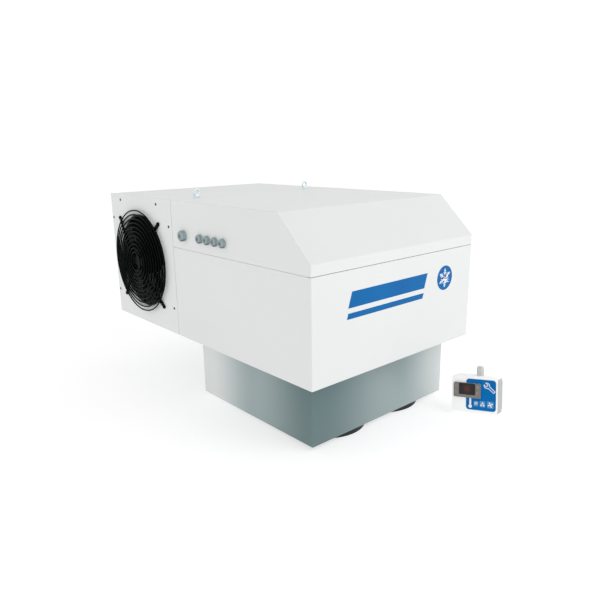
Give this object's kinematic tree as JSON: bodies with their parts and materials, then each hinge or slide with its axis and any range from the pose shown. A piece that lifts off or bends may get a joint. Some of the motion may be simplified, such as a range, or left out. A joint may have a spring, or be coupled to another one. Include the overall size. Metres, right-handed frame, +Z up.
{
  "type": "monoblock refrigeration unit",
  "caption": "Roof-mounted monoblock refrigeration unit: white housing with sloping front, side fan in a wire guard, cable glands, insulated plug with fans below, and a separate control box.",
  "frame": {"origin": "centre of the plug in plan, on the roof surface that the gasket rests on", "axes": "+Z up, +Y from the sloping front to the rear, +X from the fan side to the coil side"},
  "size_m": [0.7183, 1.3194, 0.6934],
  "materials": {
    "white_paint": "satin powder coat",
    "zinc_sheet": "galvanised",
    "plug_metal": "satin",
    "black_screws": "black passivated",
    "bright_zinc": "zinc plated",
    "eyebolt_steel": "bright zinc",
    "foam": "rigid foam",
    "gasket_rubber": "matte",
    "seal_rubber": "matte grey",
    "fan_ring_plastic": "satin black",
    "guard_wire": "satin black",
    "motor_black": "satin black",
    "blade_black": "satin black",
    "fin_aluminium": "bare",
    "frame_aluminium": "bare",
    "copper": "bare copper",
    "compressor_enamel": "gloss black enamel",
    "terminal_plastic": "matte",
    "drain_plastic": "matte",
    "gland_grey": "satin grey",
    "panel_plastic": "satin white",
    "panel_gland_plastic": "satin light grey",
    "label_blue": "printed film",
    "thermostat_plastic": "matte grey-brown",
    "display_dark": "gloss",
    "key_plastic": "matte"
  },
  "bodies": {
    "unit": {"base_pan": "zinc_sheet", "roof_gasket": "gasket_rubber", "front_casing": "white_paint", "hood": "white_paint", "fan_panel": "white_paint", "rear_cover": "white_paint", "bulkhead": "zinc_sheet", "casing_screws": "black_screws", "eyebolts": "eyebolt_steel", "chamber_insulation": "foam", "plug_sleeve": "plug_metal", "plug_insulation": "foam", "plug_divider": "foam", "plug_bottom": "plug_metal", "evap_ring_left": "fan_ring_plastic", "evap_ring_right": "fan_ring_plastic", "evap_guard_left": "guard_wire", "evap_guard_right": "guard_wire", "evap_motor_left": "motor_black", "evap_motor_right": "motor_black", "evaporator_fins": "fin_aluminium", "evaporator_frame": "frame_aluminium", "evaporator_tubes": "copper", "drip_tray": "frame_aluminium", "drain_pipe": "drain_plastic", "cond_shroud": "zinc_sheet", "cond_guard": "guard_wire", "cond_motor": "motor_black", "condenser_fins": "fin_aluminium", "condenser_frame": "frame_aluminium", "condenser_tubes": "copper", "compressor_shell": "compressor_enamel", "compressor_grommets": "gasket_rubber", "compressor_bolts": "bright_zinc", "compressor_terminal_cover": "terminal_plastic", "liquid_receiver": "compressor_enamel", "discharge_line": "copper", "suction_line": "copper", "liquid_line": "copper", "electrical_box": "zinc_sheet", "gland_bodies": "gland_grey", "gland_nuts": "gland_grey", "gland_seals": "seal_rubber", "panel_box": "panel_plastic", "panel_cover": "panel_plastic", "panel_screws": "bright_zinc", "panel_label": "label_blue", "panel_gland": "panel_gland_plastic", "thermostat_case": "thermostat_plastic", "thermostat_window": "display_dark"},
    "condenser_fan": {"cond_rotor": "motor_black", "cond_impeller": "blade_black"},
    "evaporator_fan_left": {"evap_rotor_left": "motor_black", "evap_impeller_left": "blade_black"},
    "evaporator_fan_right": {"evap_rotor_right": "motor_black", "evap_impeller_right": "blade_black"},
    "key_1": {"key_1": "key_plastic"},
    "key_2": {"key_2": "key_plastic"},
    "key_3": {"key_3": "key_plastic"},
    "key_4": {"key_4": "key_plastic"}
  },
  "joints": [
    {"name": "condenser_fan_spin", "type": "hinge", "parent": "unit", "child": "condenser_fan", "pos_m": [-0.345, 0.55949, 0.228], "axis": [1, 0, 0], "continuous": true},
    {"name": "evaporator_fan_left_spin", "type": "hinge", "parent": "unit", "child": "evaporator_fan_left", "pos_m": [-0.12601, -0.15, -0.195], "axis": [0, 0, 1], "continuous": true},
    {"name": "evaporator_fan_right_spin", "type": "hinge", "parent": "unit", "child": "evaporator_fan_right", "pos_m": [0.12601, -0.15, -0.195], "axis": [0, 0, 1], "continuous": true},
    {"name": "key_1_press", "type": "slide", "parent": "unit", "child": "key_1", "axis": [0.9403, 0.2696, -0.2079], "range_m": [0, 0.001], "stiffness_N_per_m": 600, "springref_m": -0.0003},
    {"name": "key_2_press", "type": "slide", "parent": "unit", "child": "key_2", "axis": [0.9403, 0.2696, -0.2079], "range_m": [0, 0.001], "stiffness_N_per_m": 600, "springref_m": -0.0003},
    {"name": "key_3_press", "type": "slide", "parent": "unit", "child": "key_3", "axis": [0.9403, 0.2696, -0.2079], "range_m": [0, 0.001], "stiffness_N_per_m": 600, "springref_m": -0.0003},
    {"name": "key_4_press", "type": "slide", "parent": "unit", "child": "key_4", "axis": [0.9403, 0.2696, -0.2079], "range_m": [0, 0.001], "stiffness_N_per_m": 600, "springref_m": -0.0003}
  ]
}
